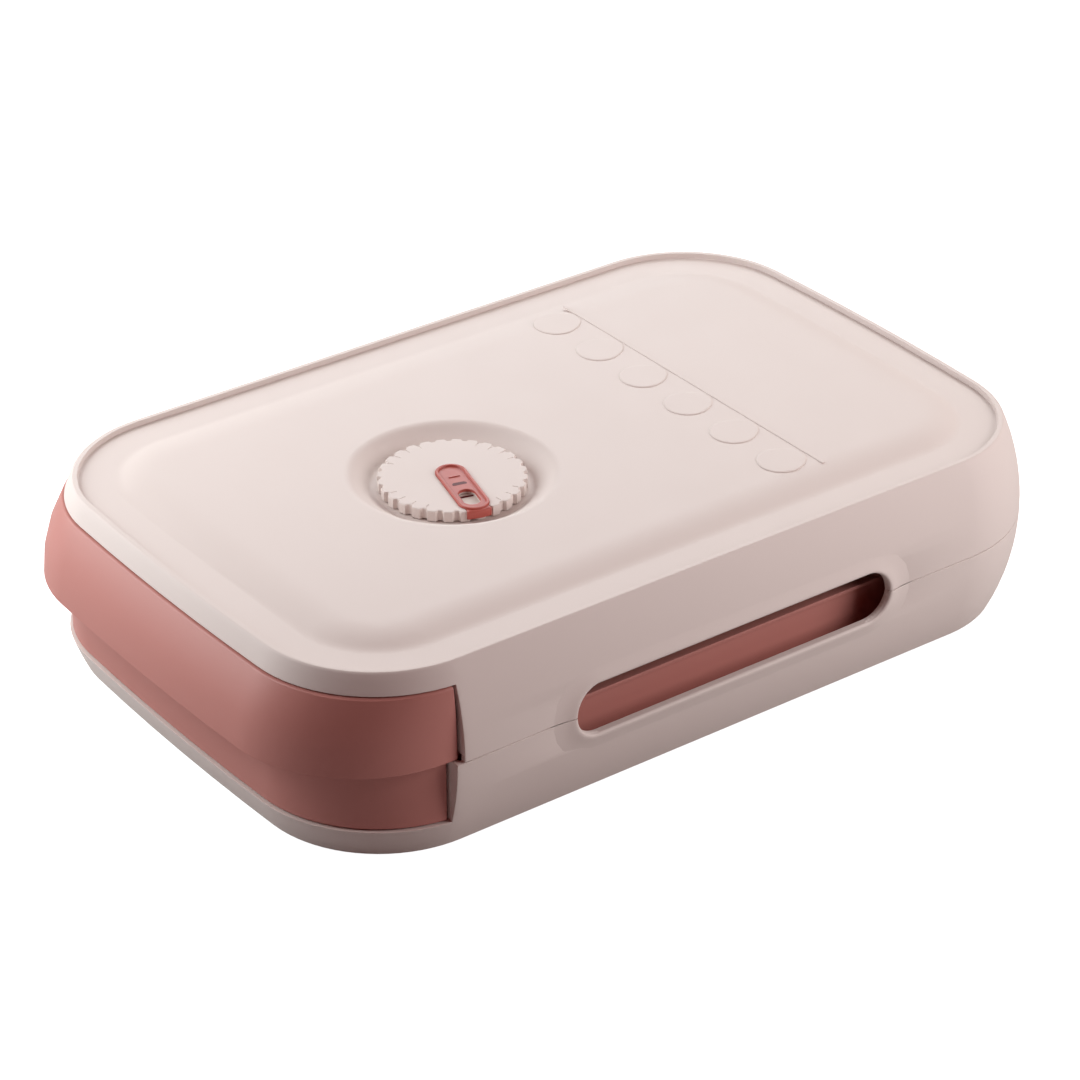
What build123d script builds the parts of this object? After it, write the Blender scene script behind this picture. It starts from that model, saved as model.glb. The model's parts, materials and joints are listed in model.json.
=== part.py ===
"""Drawer keeper for twenty-four eggs: a two-part sleeve, a drawer with an egg tray, and a date dial.

Millimetres.  Origin at the middle of the whole footprint, pull lip included, on the surface the keeper
stands on.  +Z is up, +Y runs towards the closed rear, and the drawer opens towards -Y.  The pieces are
drawn round the sleeve's own middle and moved to the origin when they are written.
"""
import os
from math import atan2, cos, degrees, pi, sqrt

from build123d import *

# ---------------------------------------------------------------- driving dimensions
# Sleeve outline, measured at the seam where it is widest
sleeve_length = 340.0
sleeve_width = 225.0
corner_radius = 56.0
end_bow_radius = 1275.0
seam_height = 38.0
wall_bulge_radius = 87.5
sleeve_wall = 2.4

# Top cover
rim_height = 74.5
rim_width = 2.6
rim_edge_break = 0.8
moat_depth = 2.1
moat_width = 12.5
moat_blend_radius = 12.0
pillow_rise = 0.9
pillow_shoulder = 17.5
roof_wall = 2.2

# Base shell
shell_foot_gap = 0.8
floor_height = 11.4
floor_wall = 2.0
lip_height = 12.75
runner_width = 1.6
runner_offsets = (28.0, 84.0)
rail_wall = 1.6
rail_height = 7.0
underside_rib_depth = 5.0
underside_rib_wall = 1.6
foot_length = 26.0
foot_width = 9.0
foot_thickness = 2.4
foot_boss_margin = 1.5
foot_inset_x = 34.0
foot_inset_y = 44.0

# Seam between cover and base
seam_gap = 0.12
tongue_height = 2.0
tongue_wall = 1.1
hook_width = 12.0
hook_wall = 1.4
hook_bridge_height = 4.0
hook_root_height = 10.0
hook_reach = 6.0
hook_barb = 1.3
hook_gap = 0.6
side_hook_positions = (-92.0, 96.0)
rear_hook_positions = (-48.0, 48.0)

# Side slots
slot_length = 142.0
slot_height = 20.4
slot_centre = 2.0
collar_width = 2.0
collar_height = 0.7

# Front opening of the sleeve
cover_header_height = 7.7
cover_post_front = -116.5
base_post_front = -119.5
post_return_gap = 1.0

# Drawer
drawer_side_gap = 12.75
tub_wall = 2.0
tub_floor = 1.6
tub_top_drop = 0.8
tub_flange = 2.0
tub_flange_thickness = 1.6
band_setback = 4.9
front_wall = 2.2
front_end_gap = 1.0
lip_gap = 0.3
fascia_top_gap = 0.5
fascia_lip_overhang = 5.3
fascia_side_setback = 3.0
fascia_top_overhang = -4.2
fascia_top_side_setback = 4.7
fascia_edge_break = 0.6
drawer_travel = 270.0
stop_lug_offset = 52.0
stop_lug_width = 10.0
stop_lug_length = 6.0
hold_down_length = 8.0
hold_down_thickness = 2.0
hold_down_height = 6.0
hold_down_setback = 4.0

# Egg tray
egg_columns = 4
egg_rows = 6
egg_pitch_x = 48.0
egg_pitch_y = 50.0
well_radius = 21.6
well_bottom_radius = 10.5
well_depth = 14.0
cup_flats = 10
tray_wall = 1.4
tray_edge_gap = 0.3
tray_skirt = 4.0

# Dial
dial_centre_y = -41.4
dish_radius = 38.8
dish_floor_radius = 28.6
dish_depth = 6.0
dish_floor_blend = 4.6
dish_wall = 2.0
wheel_radius = 27.5
wheel_height = 4.5
wheel_plate = 1.6
wheel_rim_wall = 2.4
wheel_notches = 28
wheel_notch_depth = 1.3
wheel_notch_width = 2.4
wheel_notch_root = 1.2
hub_radius = 5.92
hub_hole_radius = 6.0
hub_drop = 0.4
washer_radius = 8.5
washer_thickness = 1.3
screw_head_radius = 3.2
screw_head_height = 2.0
screw_shank_radius = 1.5
plate_radius = 22.5
pointer_angle = -15.0
pointer_inner_reach = 7.4
pointer_outer_reach = 26.2
pointer_width = 11.6
pointer_rim = 1.3
pointer_rim_height = 0.8
pointer_seat_depth = 0.9
pointer_floor_sink = 0.6
pointer_tab_wall = 0.7
pointer_tab_drop = 3.2
window_start = 8.6
window_end = 20.4
window_width = 6.4

# Clearances
lift_gap = 0.3
stop_gap = 0.1
seat_gap = 0.1
turn_gap = 0.3
thread_gap = 0.05

# ---------------------------------------------------------------- derived sizes
half_width = sleeve_width / 2
half_length = sleeve_length / 2
bow_centre = half_length - end_bow_radius
corner_x = half_width - corner_radius
corner_y = bow_centre + sqrt((end_bow_radius - corner_radius) ** 2 - corner_x ** 2)
corner_turn = degrees(atan2(corner_y - bow_centre, corner_x))
moat_height = rim_height - moat_depth
pillow_height = rim_height + pillow_rise
cover_opening_top = rim_height - cover_header_height
fascia_top_height = cover_opening_top - fascia_top_gap
fascia_lip_height = seam_height + lip_gap
tub_height = seam_height - tub_top_drop
drawer_underside = lip_height + lift_gap
tub_floor_top = drawer_underside + tub_floor
tray_deck_top = tub_floor_top + seat_gap + well_depth + tray_wall
dish_floor_height = pillow_height - dish_depth
wheel_top_height = dish_floor_height + wheel_height
wheel_plate_under = wheel_top_height - wheel_plate
plate_top_height = wheel_plate_under - turn_gap
hub_low = dish_floor_height - dish_wall - hub_drop
above_dial = wheel_top_height + wheel_height


def wall_inset(height, depth=0.0):
    """How far inside the seam outline the bulged wall is at a height, at a depth within the wall."""
    radius = wall_bulge_radius - depth
    return wall_bulge_radius - sqrt(radius ** 2 - (height - seam_height) ** 2)


# ---------------------------------------------------------------- plan outlines
def plan_face(half_w, half_l, corner, bow):
    """A plan with straight sides, round corners and slightly bowed ends."""
    centre = half_l - bow
    inner_x = half_w - corner
    inner_y = centre + sqrt((bow - corner) ** 2 - inner_x ** 2)
    turn = degrees(atan2(inner_y - centre, inner_x))
    rear = [
        CenterArc((inner_x, inner_y), corner, 0, turn),
        CenterArc((0, centre), bow, turn, 180 - 2 * turn),
        CenterArc((-inner_x, inner_y), corner, 180 - turn, turn),
    ]
    front = [edge.rotate(Axis.Z, 180) for edge in rear]
    sides = [Line((x, -inner_y), (x, inner_y)) for x in (half_w, -half_w)]
    return Face(Wire(rear + front + sides))


def inset_plan(inset):
    """The seam outline drawn in by the same distance all round."""
    return plan_face(half_width - inset, half_length - inset, corner_radius - inset, end_bow_radius - inset)


def prism(face, low, high):
    """A plan face given a height."""
    return extrude(Pos(0, 0, low) * face, high - low)


def slab(x_low, x_high, y_low, y_high, z_low, z_high):
    """A block between two values on each axis."""
    size = Box(x_high - x_low, y_high - y_low, z_high - z_low)
    return Pos((x_low + x_high) / 2, (y_low + y_high) / 2, (z_low + z_high) / 2) * size


def both_sides(part):
    """A part and its mirror image across the keeper's middle plane."""
    return part + mirror(part, Plane.YZ)


def carried_round(edges):
    """A closed section, drawn as (minus the distance inside the outline, height), carried round the plan.

    A section that reaches the corner centres leaves the middle of the plan to be filled by core_prism.
    """
    section = Plane.XZ * Face(Wire(edges))
    side = extrude(Pos(half_width, corner_y, 0) * section, 2 * corner_y, dir=(0, -1, 0))
    corner_axis = Axis((corner_x, corner_y, 0), (0, 0, 1))
    corner = revolve(Pos(half_width, corner_y, 0) * section, corner_axis, corner_turn)
    bow_axis = Axis((0, bow_centre, 0), (0, 0, 1))
    bow_start = Pos(0, bow_centre, 0) * Rot(0, 0, corner_turn) * Pos(end_bow_radius, 0, 0) * section
    bow = revolve(bow_start, bow_axis, 180 - 2 * corner_turn)
    quarter = [side, corner, mirror(corner, Plane.YZ), bow]
    return Part() + quarter + [piece.rotate(Axis.Z, 180) for piece in quarter]


def core_prism(low, high):
    """The middle of the plan, between the corner centres, given a height."""
    reach = end_bow_radius - corner_radius
    rear = CenterArc((0, bow_centre), reach, corner_turn, 180 - 2 * corner_turn)
    sides = [Line((x, -corner_y), (x, corner_y)) for x in (corner_x, -corner_x)]
    return prism(Face(Wire([rear, rear.rotate(Axis.Z, 180)] + sides)), low, high)


def outside_wall(low, high):
    """The wall's outer curve between two heights."""
    heights = (low, (low + high) / 2, high)
    return ThreePointArc(*[(-wall_inset(height), height) for height in heights])


def inside_wall(low, high):
    """The wall's inner side between two heights: two straight runs that follow the bulge."""
    heights = (low, (low + high) / 2, high)
    return Polyline(*[(-wall_inset(height, sleeve_wall), height) for height in heights]).edges()


def soft_step(start, end, start_radius):
    """Two arcs that meet tangent and lead from one level to another; the first has the given radius."""
    run, rise = end[0] - start[0], end[1] - start[1]
    share = start_radius * 2 * abs(rise) / (run ** 2 + rise ** 2)
    meet = (start[0] + run * share, start[1] + rise * share)
    return [TangentArc(start, meet, tangent=(run, 0)), TangentArc(end, meet, tangent=(-run, 0))]


# ---------------------------------------------------------------- features shared by cover and base
def stadium_prism(length, height, x_low, x_high):
    """A slot-shaped prism along X, centred on the seam."""
    shape = Plane.YZ * SlotOverall(length, height)
    return extrude(Pos(x_low, slot_centre, seam_height) * shape, x_high - x_low)


def slot_collars():
    """The thick raised edge round each side slot."""
    inner = half_width - sleeve_wall + tongue_wall + seam_gap
    ring = stadium_prism(slot_length + 2 * collar_width, slot_height + 2 * collar_width,
                         inner, half_width + collar_height)
    return both_sides(ring)


def slot_holes():
    """The two slots through the side walls."""
    reach = half_width + 2 * collar_height
    return both_sides(stadium_prism(slot_length, slot_height, half_width - 2 * sleeve_wall, reach))


def front_opening(post_front, low, high):
    """The space in front of the side posts that the drawer front fills."""
    return slab(-sleeve_width, sleeve_width, -sleeve_length, post_front, low, high)


def hook_windows():
    """The short stretches of the outline that carry a snap hook."""
    half_hook = hook_width / 2
    sides = [slab(half_width / 2, sleeve_width, y - half_hook, y + half_hook, 0, rim_height)
             for y in side_hook_positions]
    rears = [slab(x - half_hook, x + half_hook, half_length / 2, sleeve_length, 0, rim_height)
             for x in rear_hook_positions]
    return both_sides(Part() + sides) + rears


def post_return(front, low, high):
    """The inward flange behind a front post's edge, which ends just clear of the drawer."""
    inner = -(drawer_side_gap - tub_flange - post_return_gap)
    heights = (low, (low + high) / 2, high)
    inside_the_wall = [(-wall_inset(height, sleeve_wall / 2), height) for height in heights]
    ring = carried_round(Polyline(*inside_the_wall, (inner, high), (inner, low), close=True).edges())
    return ring & slab(-half_width, half_width, front, front + sleeve_wall, low, high)


def snap_hooks():
    """Cantilever hooks that hang from the cover and catch under the base's ledges."""
    wall = wall_inset(seam_height + hook_bridge_height, sleeve_wall)
    inner = -(wall + hook_gap + hook_barb)
    tip = inner + hook_barb
    top = seam_height + hook_root_height
    bridge = top - hook_bridge_height
    low = seam_height - hook_reach
    barb_top = low + 2 * hook_barb
    points = [(-sleeve_wall, top), (inner - hook_wall, top), (inner - hook_wall, low), (tip, low),
              (tip, barb_top), (inner, barb_top), (inner, bridge), (-sleeve_wall, bridge)]
    ring = carried_round(Polyline(*points, close=True).edges())
    return ring & hook_windows()


def snap_ledges():
    """The ledges inside the base that the hooks catch under."""
    low = seam_height - hook_reach + 2 * hook_barb + hook_gap
    inner = -(sleeve_wall + hook_barb)
    outer = -sleeve_wall / 2
    points = [(outer, low), (inner, low), (inner, low + hook_barb), (outer, low + hook_barb)]
    ring = carried_round(Polyline(*points, close=True).edges())
    return ring & hook_windows()


# ---------------------------------------------------------------- sleeve pieces
def make_top_cover():
    """The upper shell: bulged walls, a thin rim, a moat, a raised pillow and the dial's dish."""
    crest_low = rim_height - rim_edge_break
    crest_outer = wall_inset(crest_low)
    crest_inner = crest_outer + rim_width
    moat_inner = crest_inner + moat_width
    pillow_start = (-moat_inner, moat_height)
    pillow_end = (-moat_inner - pillow_shoulder, pillow_height)
    moat_under = moat_height - roof_wall
    pillow_under = pillow_height - roof_wall
    bottom = seam_height + seam_gap
    rebate_top = seam_height + tongue_height + seam_gap
    rebate_depth = sleeve_wall - tongue_wall - seam_gap
    section = [
        outside_wall(bottom, crest_low),
        Line((-crest_outer, crest_low), (-crest_outer - rim_edge_break, rim_height)),
        Line((-crest_outer - rim_edge_break, rim_height), (-crest_inner, rim_height)),
        Line((-crest_inner, rim_height), (-crest_inner, moat_height)),
        Line((-crest_inner, moat_height), pillow_start),
        *soft_step(pillow_start, pillow_end, moat_blend_radius),
        Line(pillow_end, (-corner_radius, pillow_height)),
        Line((-corner_radius, pillow_height), (-corner_radius, pillow_under)),
        Line((-corner_radius, pillow_under), (pillow_end[0], pillow_under)),
        Line((pillow_end[0], pillow_under), (pillow_start[0] - roof_wall, moat_under)),
        Line((pillow_start[0] - roof_wall, moat_under), (-wall_inset(moat_under, sleeve_wall), moat_under)),
        *inside_wall(rebate_top, moat_under),
        Line((-wall_inset(rebate_top, sleeve_wall), rebate_top), (-rebate_depth, rebate_top)),
        Line((-rebate_depth, rebate_top), (-rebate_depth, bottom)),
        Line((-rebate_depth, bottom), (-wall_inset(bottom), bottom)),
    ]
    shell = carried_round(section) + core_prism(pillow_under, pillow_height)
    collars = slot_collars() & slab(-sleeve_width, sleeve_width, -half_length, half_length,
                                    bottom, rim_height)
    shell = shell + collars + snap_hooks() + hold_down_tabs() - slot_holes()
    shell = shell - front_opening(cover_post_front, 0, cover_opening_top)
    shell = shell + post_return(cover_post_front, rebate_top, cover_opening_top)
    return shell - dish_space() + dish_wall_ring()


def hold_down_tabs():
    """Two tabs just inside the front posts that lie over the drawer's flanges."""
    start = cover_post_front + hold_down_setback
    end = start + hold_down_length
    inner = half_width - drawer_side_gap + seat_gap
    outer = half_width - sleeve_wall - hook_gap
    low = seam_height + seam_gap
    high = low + hold_down_height
    tab = slab(inner, outer, start, end, low, low + hold_down_thickness)
    stem = slab(outer - sleeve_wall, outer, start, end, low, high)
    root = slab(outer - sleeve_wall, half_width - sleeve_wall, start, end,
                low + tongue_height + seam_gap, high)
    return both_sides(tab + stem + root)


def dish_space():
    """The round piece of roof that the dial's dish takes the place of."""
    return Pos(0, dial_centre_y, pillow_height) * Cylinder(dish_radius, 4 * roof_wall)


def dish_wall_ring():
    """The dish: a level floor with the dial's bearing hole, and a soft edge up to the pillow."""
    floor_point = (dish_floor_radius, dish_floor_height)
    edge_point = (dish_radius, pillow_height)
    hole_low = dish_floor_height - dish_wall
    under = Polyline(edge_point, (dish_radius, pillow_height - roof_wall),
                     (dish_floor_radius + dish_wall / 2, hole_low), (hub_hole_radius, hole_low),
                     (hub_hole_radius, dish_floor_height), floor_point)
    return at_dial(turned(soft_step(floor_point, edge_point, dish_floor_blend) + under.edges()))


def make_base_shell():
    """The lower shell: bulged walls, a floor with runners, guide rails and foot bosses."""
    floor_under = floor_height - floor_wall
    tongue_top = seam_height + tongue_height
    tongue_outer = sleeve_wall - tongue_wall
    inner_tongue, inner_floor, inner_under, inner_foot = [
        (-wall_inset(height, sleeve_wall), height)
        for height in (tongue_top, floor_height, floor_under, shell_foot_gap)]
    section = [
        outside_wall(shell_foot_gap, seam_height),
        Line((0, seam_height), (-tongue_outer, seam_height)),
        Line((-tongue_outer, seam_height), (-tongue_outer, tongue_top)),
        Line((-tongue_outer, tongue_top), inner_tongue),
        *inside_wall(floor_height, tongue_top),
        Line(inner_floor, (-corner_radius, floor_height)),
        Line((-corner_radius, floor_height), (-corner_radius, floor_under)),
        Line((-corner_radius, floor_under), inner_under),
        Line(inner_under, inner_foot),
        Line(inner_foot, (-wall_inset(shell_foot_gap), shell_foot_gap)),
    ]
    shell = carried_round(section) + core_prism(floor_under, floor_height)
    collars = slot_collars() & slab(-sleeve_width, sleeve_width, -half_length, half_length, 0, seam_height)
    shell = shell + collars + snap_ledges() - slot_holes()
    shell = shell - front_opening(base_post_front, lip_height, rim_height)
    shell = shell - front_opening(cover_post_front, seam_height, rim_height)
    shell = shell + post_return(base_post_front, lip_height, seam_height)
    return shell + floor_runners() + guide_rails() + underside_ribs() + foot_bosses()


def floor_runners():
    """Low ribs along the floor that carry the drawer level with the front lip."""
    ribs = [slab(x - runner_width / 2, x + runner_width / 2, -half_length, half_length,
                 floor_height, lip_height) for x in runner_offsets]
    return both_sides(Part() + ribs) & prism(inset_plan(drawer_side_gap), 0, seam_height)


def guide_rails():
    """Upright rails that keep the drawer straight between the side walls."""
    inner = half_width - drawer_side_gap + lift_gap
    rail = slab(inner, inner + rail_wall, base_post_front, corner_y,
                floor_height, floor_height + rail_height)
    return both_sides(rail)


def underside_ribs():
    """Stiffening ribs below the floor."""
    top = floor_height - floor_wall
    low = top - underside_rib_depth
    rib = underside_rib_wall / 2
    long_x = (runner_offsets[0] + runner_offsets[1]) / 2
    reach_x = half_width - wall_inset(low, sleeve_wall)
    reach_y = corner_y
    along = both_sides(slab(long_x - rib, long_x + rib, -reach_y, reach_y, low, top))
    across = [slab(-reach_x, reach_x, y - rib, y + rib, low, top) for y in (-reach_y, 0, reach_y)]
    return along + across


def foot_places():
    """The four foot centres, by name."""
    x = half_width - foot_inset_x
    y = half_length - foot_inset_y
    return {"front_left": (-x, -y), "front_right": (x, -y), "rear_left": (-x, y), "rear_right": (x, y)}


def foot_bosses():
    """Flat bosses that hang from the floor, one for each foot to be stuck to."""
    boss = Rectangle(foot_width + 2 * foot_boss_margin, foot_length + 2 * foot_boss_margin)
    return Part() + [prism(Pos(x, y) * boss, foot_thickness, floor_height - floor_wall)
                     for x, y in foot_places().values()]


def make_foot_pad(place):
    """An anti-slip pad stuck under its boss."""
    return Pos(place[0], place[1]) * prism(Rectangle(foot_width, foot_length), 0, foot_thickness)


# ---------------------------------------------------------------- drawer pieces
def fascia_plan(height, inner=0.0):
    """The drawer front's outline at a height: it leans out from the cover to the pull lip."""
    drop = fascia_top_height - fascia_lip_height
    lean = fascia_lip_overhang - fascia_top_overhang
    bow = (drop ** 2 + lean ** 2) / (2 * lean)
    above = height - fascia_lip_height
    falling = bow - sqrt(bow ** 2 - above ** 2)
    side = fascia_side_setback + (fascia_top_side_setback - fascia_side_setback) * falling / lean
    overhang = fascia_lip_overhang - falling
    corner = corner_radius - side - inner
    return plan_face(half_width - side - inner, half_length + overhang - inner, corner,
                     end_bow_radius - inner)


def fascia_form(low, high, inner=0.0):
    """The leaning form of the drawer front, filled, between two heights."""
    bands = 3
    levels = [low + (high - low) * step / bands for step in range(bands + 1)]
    return loft([Pos(0, 0, level) * fascia_plan(level, inner) for level in levels], ruled=True)


def front_region(rear, low, high):
    """Everything ahead of a depth, between two heights."""
    return slab(-sleeve_width, sleeve_width, -sleeve_length, rear, low, high)


def make_drawer_tub():
    """The drawer: a tub, a recessed lower band and an overhanging front with its pull lip."""
    end = cover_post_front - front_end_gap
    band_end = base_post_front - front_end_gap
    tub = prism(inset_plan(drawer_side_gap), drawer_underside, tub_height)
    flange_edge = inset_plan(drawer_side_gap - tub_flange)
    flange = prism(flange_edge, tub_height - tub_flange_thickness, tub_height)
    flange = flange & slab(-half_width, half_width, end, half_length, 0, rim_height)
    band_face = inset_plan(band_setback)
    band_low = drawer_underside + lip_gap
    band = prism(band_face, band_low, fascia_lip_height) & front_region(band_end, 0, rim_height)
    shoulder = fascia_top_height - fascia_edge_break
    face = fascia_form(fascia_lip_height, shoulder)
    cap = loft([Pos(0, 0, shoulder) * fascia_plan(shoulder),
                Pos(0, 0, fascia_top_height) * fascia_plan(fascia_top_height, fascia_edge_break)])
    front = (face + cap) & front_region(end, 0, rim_height)
    shelf_top = fascia_lip_height + front_wall
    hollow = fascia_form(shelf_top, fascia_top_height, front_wall)
    channel = prism(inset_plan(band_setback + front_wall), 0, fascia_lip_height)
    channel = channel - prism(inset_plan(drawer_side_gap), 0, rim_height)
    channel = channel & front_region(band_end - front_wall, 0, rim_height)
    inside = prism(inset_plan(drawer_side_gap + tub_wall), tub_floor_top, rim_height)
    return tub + flange + band + front - hollow - channel - inside + stop_lugs()


def stop_lugs():
    """Two low lugs under the drawer that meet the front lip when it is fully open."""
    outer = stop_lug_offset + stop_lug_width / 2
    lip_radius = end_bow_radius - wall_inset(floor_height, sleeve_wall)
    lip_reach = bow_centre + sqrt(lip_radius ** 2 - outer ** 2)
    start = drawer_travel + stop_gap - lip_reach
    lug = slab(outer - stop_lug_width, outer, start, start + stop_lug_length,
               floor_height + lift_gap, drawer_underside)
    return both_sides(lug)


def well_centres():
    """Plan centres of the egg wells."""
    first_x = -(egg_columns - 1) / 2
    first_y = -(egg_rows - 1) / 2
    return [((first_x + column) * egg_pitch_x, (first_y + row) * egg_pitch_y)
            for row in range(egg_rows) for column in range(egg_columns)]


def polygon_face(*corners):
    """The flat face with these corners."""
    return Face(Wire(Polyline(*corners, close=True).edges()))


def cup_ring(radius, level):
    """The corners of a cup's flat-sided outline at a level, for a radius measured to its flats."""
    corner = Vector(radius / cos(pi / cup_flats), 0, level)
    return [corner.rotate(Axis.Z, 360 * step / cup_flats) for step in range(cup_flats)]


def cup_form(bottom_radius, top_radius, low, high):
    """A cup, filled: a tapered form with flat sides."""
    lower, upper = cup_ring(bottom_radius, low), cup_ring(top_radius, high)
    sides = [polygon_face(lower[side - 1], lower[side], upper[side], upper[side - 1])
             for side in range(cup_flats)]
    return Solid(Shell([polygon_face(*lower), polygon_face(*upper)] + sides))


def make_egg_tray():
    """The insert: a deck with a conical cup for each egg and a turned-down edge."""
    deck_low = tray_deck_top - tray_wall
    cup_low = tub_floor_top + seat_gap
    edge = drawer_side_gap + tub_wall + tray_edge_gap
    deck = prism(inset_plan(edge), deck_low, tray_deck_top)
    skirt = prism(inset_plan(edge), deck_low - tray_skirt, deck_low)
    skirt = skirt - prism(inset_plan(edge + tray_wall), 0, rim_height)
    cup_height = tray_deck_top - cup_low
    slope = (well_radius - well_bottom_radius) / cup_height
    side_wall = tray_wall * sqrt(1 + slope ** 2)
    outer = cup_form(well_bottom_radius + side_wall, well_radius + side_wall, cup_low, tray_deck_top)
    inner = cup_form(well_bottom_radius, well_radius, cup_low, tray_deck_top)
    centres = well_centres()
    cups = Part() + [Pos(x, y, 0) * outer for x, y in centres]
    cups = cups & prism(inset_plan(edge), 0, tray_deck_top)
    return deck + skirt + cups - [Pos(x, y, 0) * inner for x, y in centres]


# ---------------------------------------------------------------- dial pieces
def at_dial(part):
    """A part drawn on the Z axis, moved to the dial's axis."""
    return Pos(0, dial_centre_y, 0) * part


def turned(edges):
    """A closed outline of edges, drawn as (radius, height), turned about the dial's axis."""
    return revolve(Plane.XZ * Face(Wire(edges)), Axis.Z)


def pointer_plan(grow=0.0):
    """The pointer's long round-ended plan, which starts behind the axis and ends at the wheel's edge."""
    length = pointer_inner_reach + pointer_outer_reach
    middle = (pointer_outer_reach - pointer_inner_reach) / 2
    slot = SlotOverall(length + 2 * grow, pointer_width + 2 * grow)
    return Rot(0, 0, pointer_angle) * Pos(middle, 0, 0) * slot


def tab_link_plan(grow=0.0):
    """The short neck between the pointer's round end and its folded tab."""
    outer = wheel_radius + pointer_tab_wall + grow
    width = pointer_width - 2 * pointer_rim + 2 * grow
    start = pointer_outer_reach - pointer_width / 2
    neck = Pos((start + wheel_radius) / 2 + pointer_width, 0, 0)
    bar = neck * Rectangle(wheel_radius - start + 2 * pointer_width, width)
    return Rot(0, 0, pointer_angle) * bar & Circle(outer)


def window_plan(grow=0.0):
    """The round-ended window that shows one date."""
    middle = (window_start + window_end) / 2
    slot = SlotOverall(window_end - window_start + 2 * grow, window_width + 2 * grow)
    return Rot(0, 0, pointer_angle) * Pos(middle, 0, 0) * slot


def make_dial_wheel():
    """A knurled cap with a hub that turns in the dish's hole, and a seat for the pointer."""
    rim_low = dish_floor_height + turn_gap
    rim_inner = wheel_radius - wheel_rim_wall
    points = [
        (screw_shank_radius, hub_low), (hub_radius, hub_low), (hub_radius, wheel_plate_under),
        (rim_inner, wheel_plate_under), (rim_inner, rim_low), (wheel_radius, rim_low),
        (wheel_radius, wheel_top_height), (0, wheel_top_height), (0, wheel_plate_under),
        (screw_shank_radius, wheel_plate_under),
    ]
    mouth = wheel_radius + seat_gap
    root = wheel_radius - wheel_notch_depth
    groove = Polyline((root, -wheel_notch_root / 2), (mouth, -wheel_notch_width / 2),
                      (mouth, wheel_notch_width / 2), (root, wheel_notch_root / 2), close=True)
    notch = prism(Face(Wire(groove.edges())), rim_low, wheel_top_height)
    turns = [pointer_angle + 360 * (step + 0.5) / wheel_notches for step in range(wheel_notches)]
    notches = [notch.rotate(Axis.Z, turn) for turn in turns]
    seat = prism(pointer_plan(seat_gap) + tab_link_plan(seat_gap),
                 wheel_top_height - pointer_seat_depth, above_dial)
    view = prism(window_plan(), rim_low, above_dial)
    tab_seat = pointer_tab(seat_gap)
    cap = turned(Polyline(*points, close=True).edges())
    return at_dial(cap - notches - seat - view - tab_seat)


def pointer_tab(grow=0.0):
    """The end of the pointer that folds down over the wheel's edge."""
    outer = wheel_radius + pointer_tab_wall
    low = wheel_top_height - pointer_tab_drop - grow
    high = wheel_top_height - pointer_seat_depth + pointer_rim_height
    ring = prism(Circle(outer + grow) - Circle(wheel_radius - pointer_tab_wall - grow), low, high)
    width = pointer_width - 2 * pointer_rim + 2 * grow
    bar = slab(0, sleeve_width, -width / 2, width / 2, 0, above_dial)
    return ring & Rot(0, 0, pointer_angle) * bar


def make_dial_pointer():
    """The window frame: a raised rim round a sunk floor, with a window and a folded end."""
    low = wheel_top_height - pointer_seat_depth
    rim_top = wheel_top_height + pointer_rim_height
    body = prism(pointer_plan(), low, rim_top)
    sunk = prism(pointer_plan(-pointer_rim), rim_top - pointer_floor_sink, above_dial)
    window = prism(window_plan(), 0, above_dial)
    link = prism(tab_link_plan(), low, rim_top - pointer_floor_sink)
    return at_dial(body + link + pointer_tab() - sunk - window)


def make_date_plate():
    """The plate under the wheel that carries the ring of dates."""
    disc = prism(Circle(plate_radius), dish_floor_height, plate_top_height)
    return at_dial(disc - prism(Circle(hub_hole_radius + turn_gap), dish_floor_height, plate_top_height))


def make_dial_washer():
    """The washer that keeps the hub from lifting out of the dish."""
    ring = Circle(washer_radius) - Circle(screw_shank_radius + seat_gap)
    return at_dial(prism(ring, hub_low - washer_thickness, hub_low))


def make_dial_screw():
    """A pan-head screw driven up into the hub."""
    seat = hub_low - washer_thickness
    head = prism(Circle(screw_head_radius), seat - screw_head_height, seat)
    shank = prism(Circle(screw_shank_radius - thread_gap), seat, wheel_plate_under - stop_gap)
    return at_dial(head + shank)


# ---------------------------------------------------------------- write the pieces
pieces = {
    "top_cover": make_top_cover,
    "base_shell": make_base_shell,
    "drawer_tub": make_drawer_tub,
    "egg_tray": make_egg_tray,
    "dial_wheel": make_dial_wheel,
    "dial_pointer": make_dial_pointer,
    "date_plate": make_date_plate,
    "dial_washer": make_dial_washer,
    "dial_screw": make_dial_screw,
}

centred = Pos(0, fascia_lip_overhang / 2, 0)
os.makedirs("parts", exist_ok=True)
for name, make in pieces.items():
    export_step(centred * make(), f"parts/{name}.step")
for name, place in foot_places().items():
    export_step(centred * make_foot_pad(place), f"parts/foot_pad_{name}.step")
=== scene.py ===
# %% [markdown]
# # A drawer egg keeper, dressed for its portrait
# The keeper is a low, rounded sleeve in two moulded halves, with a drawer in its front and a small
# turning dial on its roof.  Its solids are loaded first and stay where they are.  The lesson then gives
# them their finishes, and models afresh the small pieces that a close look rests on.

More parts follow.
